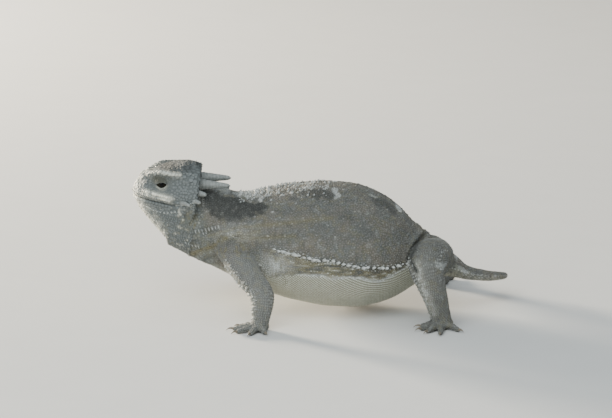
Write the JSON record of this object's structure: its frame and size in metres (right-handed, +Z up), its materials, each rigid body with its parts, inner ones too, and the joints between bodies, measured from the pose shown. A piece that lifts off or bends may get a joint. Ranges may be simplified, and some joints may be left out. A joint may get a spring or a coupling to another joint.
{
  "type": "short-horned lizard model",
  "caption": "Still life-size model of a standing short-horned lizard, round flattened body with a spiny flank fringe, raised blunt head, short horns and a curved tail.",
  "frame": {"origin": "on the floor, under the middle of the model's outline", "axes": "+Z up, the snout points to -X, the animal's left side faces -Y"},
  "size_m": [0.1024, 0.074, 0.0405],
  "materials": {
    "skin": "dry scaled skin",
    "head_scales": "dry rough head scales",
    "horn": "dull horn",
    "eye": "wet gloss"
  },
  "bodies": {
    "root": {"head": "head_scales", "neck": "skin", "torso": "skin", "tail_base": "skin", "tail_middle": "skin", "tail_end": "skin", "upper_arm_left": "skin", "upper_arm_right": "skin", "forearm_left": "skin", "forearm_right": "skin", "hand_left": "skin", "hand_right": "skin", "thigh_left": "skin", "thigh_right": "skin", "shank_left": "skin", "shank_right": "skin", "foot_left": "skin", "foot_right": "skin", "eye_left": "eye", "eye_right": "eye", "occipital_horn_left": "horn", "occipital_horn_right": "horn", "temporal_horn_1_left": "horn", "temporal_horn_1_right": "horn", "temporal_horn_2_left": "horn", "temporal_horn_2_right": "horn", "temporal_horn_3_left": "horn", "temporal_horn_3_right": "horn"}
  },
  "joints": []
}
